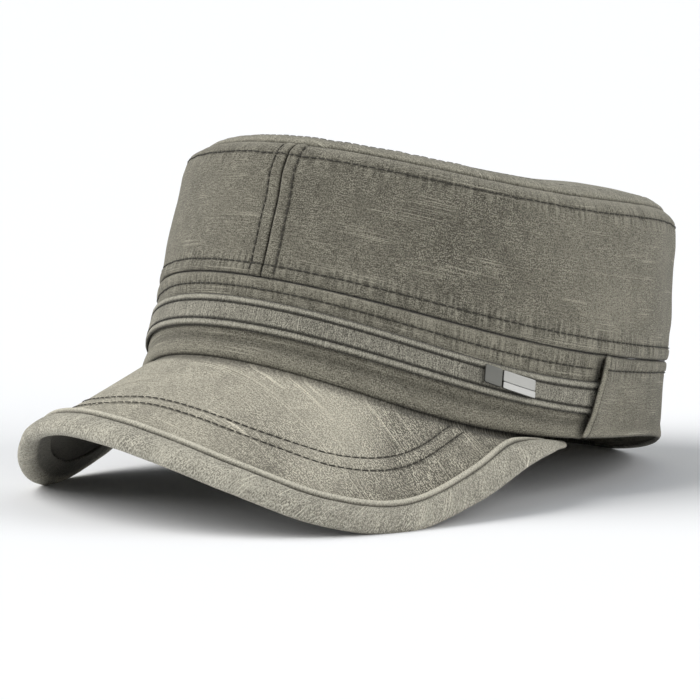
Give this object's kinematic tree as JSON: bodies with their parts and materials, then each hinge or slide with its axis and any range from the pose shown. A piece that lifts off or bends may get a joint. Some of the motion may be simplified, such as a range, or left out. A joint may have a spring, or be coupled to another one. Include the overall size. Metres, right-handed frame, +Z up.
{
  "type": "patrol cap",
  "caption": "Washed cotton patrol cap with a low crown, flat oval top, sewn strap, small bare metal badge and a curved peak with rolled binding, resting by itself.",
  "frame": {"origin": "on the surface the cap rests on, under the middle of its bounding box", "axes": "+Z up, -Y towards the wearer's front (the peak), +X towards the wearer's left"},
  "size_m": [0.176, 0.269, 0.1182],
  "materials": {
    "canvas": "washed matte cotton",
    "canvas_top": "washed matte cotton, slightly greyer",
    "canvas_light": "washed matte cotton, slightly lighter",
    "badge_matte": "matte",
    "badge_bright": "satin"
  },
  "bodies": {
    "root": {"crown_top": "canvas_top", "crown_side_left": "canvas", "crown_side_right": "canvas", "band_front": "canvas", "band_rear": "canvas", "strap": "canvas_light", "peak": "canvas_light", "peak_binding": "canvas_light", "badge_square": "badge_matte", "badge_bar": "badge_bright"}
  },
  "joints": []
}
